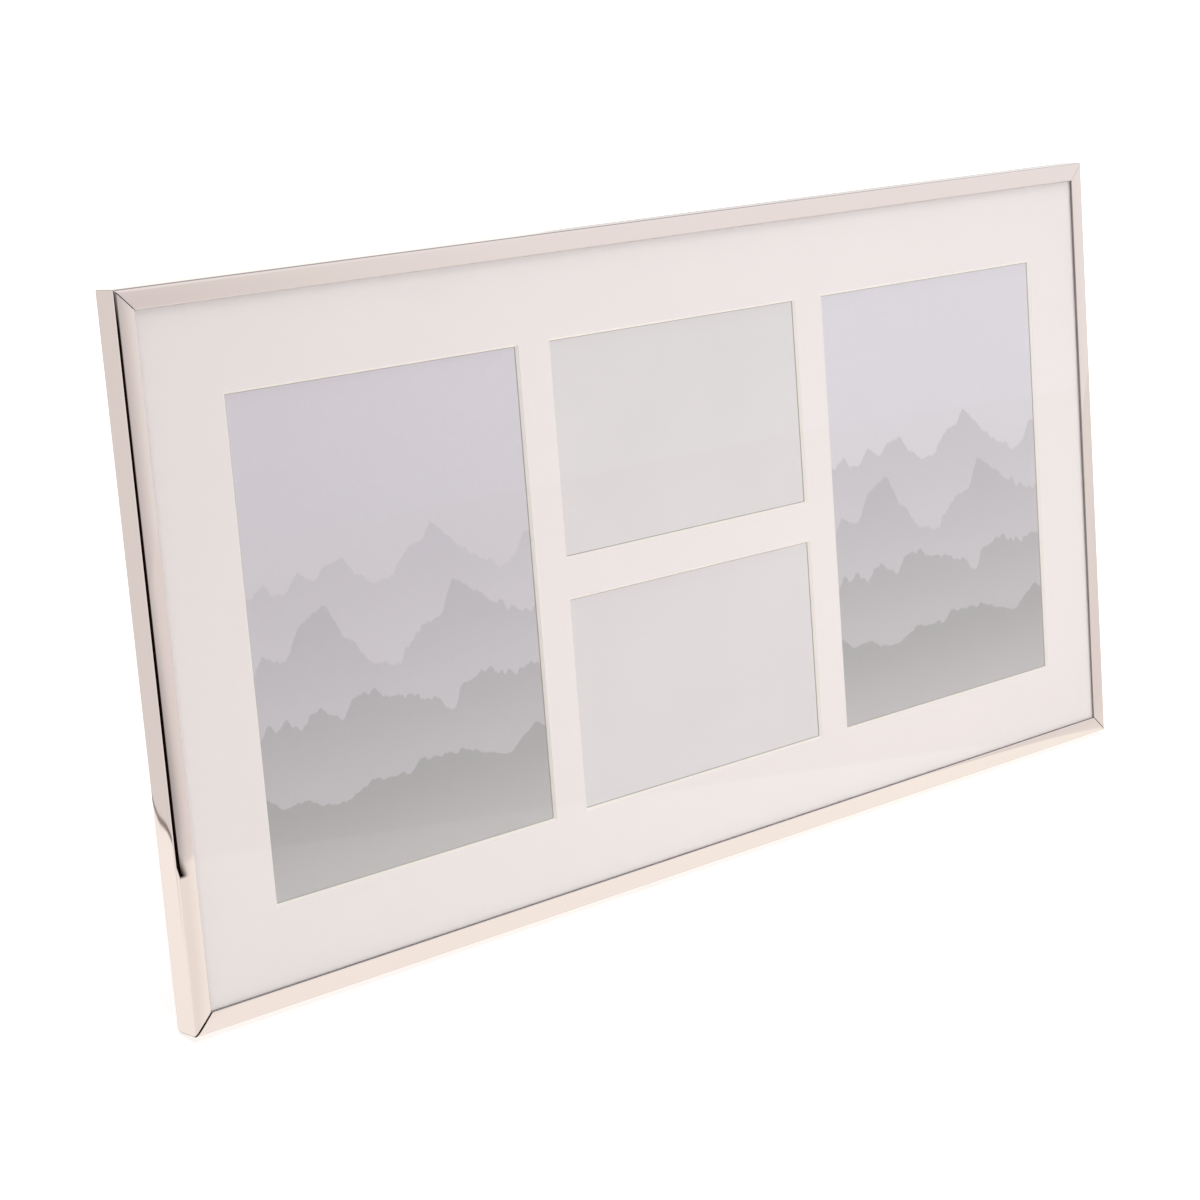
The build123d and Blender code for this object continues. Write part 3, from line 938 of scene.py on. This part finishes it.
def sheet_tone(tree, parts, bearing):
    """The cream sheet in mirrors: its tones from left to right, with the painted shade of the dip
    multiplied in.
    """
    along = add(
        tree,
        "MapRange",
        {"Value": parts["X"], "From Min": -sheet_reach * MM, "From Max": sheet_reach * MM},
    )
    cream = add(tree, "ValToRGB", {"Fac": along.outputs["Result"]}, stops=sheet_tones)
    shares = add(tree, "SeparateXYZ", {"Vector": bearing}).outputs
    turn = add(tree, "MapRange", {"Value": shares["X"], "From Min": -1.0, "From Max": 1.0})
    dip_shade_ramp = add(tree, "ValToRGB", {"Fac": turn.outputs["Result"]}, stops=dip_shade_tones)
    before = add(
        tree,
        "MapRange",
        {"Value": shares["Y"], "From Min": dip_shade_full, "From Max": dip_shade_end, "To Min": 1.0, "To Max": 0.0},
    )
    dip_shaded = add(
        tree,
        "Mix",
        {"Factor": before.outputs["Result"], FROM: cream.outputs["Color"], TO: dip_shade_ramp.outputs["Color"]},
        data_type="RGBA",
        blend_type="MULTIPLY",
    )
    return dip_shaded.outputs[BLEND]


def table_shade(tree, bearing):
    """The table in mirrors: its painted light and shade by how far a bearing points towards the tent's
    opening.
    """
    opening = add(tree, "VectorMath", {0: bearing, 1: tent_opening}, operation="DOT_PRODUCT")
    turn = add(tree, "MapRange", {"Value": opening.outputs["Value"], "From Min": -1.0, "From Max": 1.0})
    return add(tree, "ValToRGB", {"Fac": turn.outputs["Result"]}, stops=table_shade_tones).outputs["Color"]


def studio_floor():
    """Pale floor: white to the eye, with the object's shadow; in mirrors a painted glow, cream sheet on
    greyer table.
    """
    made, tree = begin_bare("studio_floor")
    rays = add(tree, "LightPath").outputs
    spot = add(tree, "TexCoord").outputs["Object"]
    parts = add(tree, "SeparateXYZ", {"Vector": spot}).outputs
    from_rail = add(tree, "VectorMath", {0: spot, 1: place(-HALF_W, 0, 0) * MM}, operation="SUBTRACT")
    bearing = add(tree, "VectorMath", {0: from_rail.outputs["Vector"]}, operation="NORMALIZE")
    bearing = bearing.outputs["Vector"]
    past, edge = sheet_limits(tree, spot, parts)
    mirrored = add(
        tree,
        "Mix",
        {"Factor": past, FROM: sheet_tone(tree, parts, bearing), TO: table_shade(tree, bearing)},
        data_type="RGBA",
    )
    mirrored = add(
        tree,
        "Mix",
        {"Factor": edge, FROM: mirrored.outputs[BLEND], TO: colour(sheet_edge_tone)},
        data_type="RGBA",
    )
    # Painted light: in mirrors the floor glows with these tones instead of being lit
    mirror_glow = add(tree, "Emission", {"Color": mirrored.outputs[BLEND], "Strength": mirror_glow_level})
    away = add(tree, "VectorMath", {0: spot}, operation="LENGTH")
    lift = add(
        tree,
        "MapRange",
        {
            "Value": away.outputs["Value"],
            "From Min": floor_lift_near * MM,
            "From Max": floor_lift_far * MM,
            "To Min": floor_lift,
            "To Max": 1.0,
        },
    )
    seen = add(
        tree,
        "Math",
        {0: rays["Is Camera Ray"], 1: rays["Is Transmission Ray"]},
        operation="MAXIMUM",
    )
    level = add(tree, "Math", {0: seen.outputs["Value"], 1: lift.outputs["Result"]}, operation="MULTIPLY")
    glow = add(tree, "Emission", {"Color": colour("#FFFFFF"), "Strength": level.outputs["Value"]})
    paper = add(tree, "BsdfDiffuse", {"Color": colour("#EFEBE9")})
    plain = add(tree, "AddShader", {0: paper.outputs["BSDF"], 1: glow.outputs["Emission"]})
    both = add(
        tree,
        "MixShader",
        {0: rays["Is Glossy Ray"], 1: plain.outputs["Shader"], 2: mirror_glow.outputs["Emission"]},
    )
    feed(tree, tree.nodes["Material Output"], {"Surface": both.outputs["Shader"]})
    return made


floor_z = cad_box[0].z / MM - floor_gap
floor_corners = np.column_stack((quarters * floor_half, np.full(len(quarters), floor_z)))
floor = new_object("studio_floor", floor_corners, [(0, 1, 2, 3)], studio_floor())

# World, which mirrors show as a light tent

# Tones of the tent's wall by the cosine of the angle from its opening
wall_tones = (
    (0.40, "#FCFCFD"),
    (0.58, "#F9F8F8"),
    (0.64, "#F1F0EF"),
    (0.69, "#E6E3E2"),
    (0.77, "#CECBCB"),
    (0.88, "#BCB8B8"),
    (1.00, "#908E8E"),
)
tent_gap = direction(147, 55)  # a gap in the tent's roof, behind the frame
gap_rim = 0.75  # cosines of the angles from its middle where its shade begins and where it is full
gap_core = 0.9
gap_level = 0.45
world_light = 0.35  # strength of the light that it gives


def studio_world():
    """White surround for the eye; in mirrors it dims towards the side where the light tent is open."""
    world = bpy.data.worlds.new("studio")
    world.use_nodes = True
    tree = world.node_tree
    tree.nodes.remove(tree.nodes["Background"])
    rays = add(tree, "LightPath").outputs
    way = add(tree, "TexCoord").outputs["Generated"]
    opening = add(tree, "VectorMath", {0: way, 1: tent_opening}, operation="DOT_PRODUCT")
    wall = add(tree, "ValToRGB", {"Fac": opening.outputs["Value"]}, stops=wall_tones)
    up_behind = add(tree, "VectorMath", {0: way, 1: tent_gap}, operation="DOT_PRODUCT")
    gap = add(
        tree,
        "MapRange",
        {
            "Value": up_behind.outputs["Value"],
            "From Min": gap_rim,
            "From Max": gap_core,
            "To Min": 1.0,
            "To Max": gap_level,
        },
    )
    shaded = add(
        tree,
        "VectorMath",
        {0: wall.outputs["Color"], "Scale": gap.outputs["Result"]},
        operation="SCALE",
    )
    tone = add(
        tree,
        "Mix",
        {"Factor": rays["Is Glossy Ray"], FROM: colour("#FFFFFF"), TO: shaded.outputs["Vector"]},
        data_type="RGBA",
    )
    seen = add(
        tree,
        "Math",
        {0: rays["Is Camera Ray"], 1: rays["Is Glossy Ray"]},
        operation="MAXIMUM",
    )
    seen = add(
        tree,
        "Math",
        {0: seen.outputs["Value"], 1: rays["Is Transmission Ray"]},
        operation="MAXIMUM",
    )
    level = add(tree, "MapRange", {"Value": seen.outputs["Value"], "To Min": world_light, "To Max": 1.0})
    sky = add(tree, "Background", {"Color": tone.outputs[BLEND], "Strength": level.outputs["Result"]})
    feed(tree, tree.nodes["World Output"], {"Surface": sky.outputs["Background"]})
    return world


bpy.context.scene.world = studio_world()

# Lamps


def soft_lamp(name, azimuth, elevation, distance, width, height, watts):
    """Soft lamp that faces the frame's middle from a direction round it; mirrors don't show it."""
    data = bpy.data.lights.new(name, "AREA")
    data.shape = "RECTANGLE"
    data.size = width * MM
    data.size_y = height * MM
    data.energy = watts
    lamp = bpy.data.objects.new(name, data)
    way = direction(azimuth, elevation)
    lamp.location = (Vector(place(0, FRAME_H / 2, 0)) + way * distance) * MM
    lamp.rotation_mode = "QUATERNION"
    lamp.rotation_quaternion = way.to_track_quat("Z", "Y")
    lamp.visible_camera = False
    lamp.visible_glossy = False
    lamp.visible_transmission = False
    bpy.context.scene.collection.objects.link(lamp)


soft_lamp("front_lamp", azimuth=10, elevation=-4, distance=720, width=900, height=140, watts=2.65)
soft_lamp("top_lamp", azimuth=20, elevation=82, distance=1400, width=1200, height=1200, watts=9)
soft_lamp("back_lamp", azimuth=190, elevation=50, distance=1600, width=1200, height=1200, watts=10)

# Camera at the photograph's place

camera_azimuth = -42.06
camera_elevation = 17.95
camera_roll = 1.66
camera_distance = 990.2
camera_aim = (-46.84, 109.95, 0.0)  # across, up, depth
lens = 82.97
sensor = 36.0
camera_data = bpy.data.cameras.new("camera")
camera_data.lens = lens
camera_data.sensor_width = sensor
camera = bpy.data.objects.new("camera", camera_data)
camera_way = direction(camera_azimuth, camera_elevation)
camera.location = (Vector(place(*camera_aim)) + camera_way * camera_distance) * MM
camera.rotation_mode = "QUATERNION"
roll_turn = Quaternion((0, 0, 1), radians(camera_roll))
camera.rotation_quaternion = camera_way.to_track_quat("Z", "Y") @ roll_turn
bpy.context.scene.collection.objects.link(camera)
bpy.context.scene.camera = camera
bpy.context.scene.view_settings.view_transform = "Standard"

# Black strip just before the left rail, seen only in mirrors: a painted reflection, the dark line along the
# rail's rounded edge

# The strip stands for a black card bent round the rail: bearings are degrees to the right of straight
# ahead, heights are above the floor
card_away = 200.0
card_from = -78.0  # it reaches from this bearing
card_to = 37.0  # to this one
card_foot = 31.5  # height of its foot straight ahead
card_fall = 25.0  # how much lower its foot is at card_from
card_thin = 238.0  # its top thins out from this height
card_top = 266.0  # up to this one
card_low = 60.0  # its low part begins below this height
card_low_depth = 35.0  # and counts in full this much lower
black_end = 1.0  # bearing where its black ends
black_fade = 11.0  # and the black's fade beyond that
black_spread = 25.0  # the low part is black this much further
low_fade = 6.0  # with this fade
black_taper = 8.0  # the high part is black this much less
high_from = 140.0  # between these heights
high_to = 200.0
veil_black = 0.40  # share of black in the grey veil beyond
veil_low_loss = 0.4  # which is lighter by this share in the low part
veil_from = 170.0  # and grows downwards from this height
veil_depth = 130.0  # and is full this much lower
veil_fade = 14.0  # bearing over which it ends at card_to
veil_low_step = 2.0  # or before it in the low part
strip_away = 1.5
strip_columns = 160  # points on the rounded edge, and as many on the front face
strip_rows = 241


def reflection_card_finish():
    """Painted reflection: matt black card that thins out where its attribute says clear."""
    made, tree = begin_bare("painted_reflection_card")
    thin = add(tree, "Attribute", attribute_name="clear")
    dark = add(tree, "BsdfDiffuse", {"Color": colour("#20130E")})
    clear = add(tree, "BsdfTransparent")
    card = add(
        tree,
        "MixShader",
        {0: thin.outputs["Fac"], 1: dark.outputs["BSDF"], 2: clear.outputs["BSDF"]},
    )
    feed(tree, tree.nodes["Material Output"], {"Surface": card.outputs["Shader"]})
    return made


def card_clearness(bearing, height):
    """How clear the card is: 0 where it is black, 1 where it lets all through.

    Its foot falls with the square of the bearing. It is black up to a bearing that grows near the foot
    and shrinks near the top, then thins out by a smooth step into the veil, which ends at card_to.
    """
    foot = card_foot - card_fall * (bearing / card_from) ** 2
    low = ease((card_low - height) / card_low_depth)
    high = ease((height - high_from) / (high_to - high_from))
    fade_start = black_end + black_spread * low - black_taper * high
    fade = black_fade + (low_fade - black_fade) * low
    veil = veil_black * (1 - veil_low_loss * low) * ease((veil_from - height) / veil_depth)
    veil *= ease((card_to - veil_low_step * low - bearing) / veil_fade)
    clear = ease((bearing - fade_start) / fade) * (1 - veil)
    clear = np.maximum(clear, ease((height - card_thin) / (card_top - card_thin)))
    return np.where((bearing < card_from) | (bearing > card_to) | (height < foot), 1.0, clear)


def make_strip(name):
    """Strip close before the left rail that paints a card's reflection on it: section points by height,
    along mirror rays.

    A ray from the camera to the rail's front or rounded edge leaves it by mirror reflection, and the
    strip's point lies strip_away along it. The strip is as clear there as the card that the ray would
    meet further on, so the camera sees the card's image, and other views only a narrow painted dark line.
    """
    section, facing = rail_section(strip_columns, strip_columns)
    inset, depth = section[: 2 * strip_columns].T
    normal = facing[: 2 * strip_columns] @ np.stack((ACROSS, BACK))
    start = place(inset - HALF_W, np.linspace(0, FRAME_H, strip_rows)[:, None], depth)
    ray = start - np.array(camera.location) / MM
    ray /= np.linalg.norm(ray, axis=-1, keepdims=True)
    ray -= 2 * (ray * normal).sum(-1, keepdims=True) * normal
    # Where the ray meets the card: a quadratic in its travel, on the floor plan
    off = start - place(-HALF_W, FRAME_H / 2, 0)
    flat = (ray[..., :2] ** 2).sum(-1)
    half = (off[..., :2] * ray[..., :2]).sum(-1)
    rest = (off[..., :2] ** 2).sum(-1) - card_away**2
    travel = (np.sqrt(half**2 - flat * rest) - half) / flat
    meets = off + travel[..., None] * ray
    bearing = np.degrees(np.arctan2(meets[..., 0], -meets[..., 1]))
    clear = card_clearness(bearing, start[..., 2] + travel * ray[..., 2])
    rows, columns = clear.shape
    first = (np.arange(rows - 1)[:, None] * columns + np.arange(columns - 1)[None]).ravel()
    quads = np.stack((first, first + 1, first + columns + 1, first + columns), -1)
    strip = new_object(name, start + strip_away * ray, quads.tolist(), reflection_card_finish())
    thinning = strip.data.attributes.new("clear", "FLOAT", "POINT")
    thinning.data.foreach_set("value", clear.ravel().astype(np.float32))
    strip.visible_camera = False
    strip.visible_diffuse = False
    strip.visible_shadow = False
    strip.visible_transmission = False
    return strip


make_strip("painted_reflection_strip")
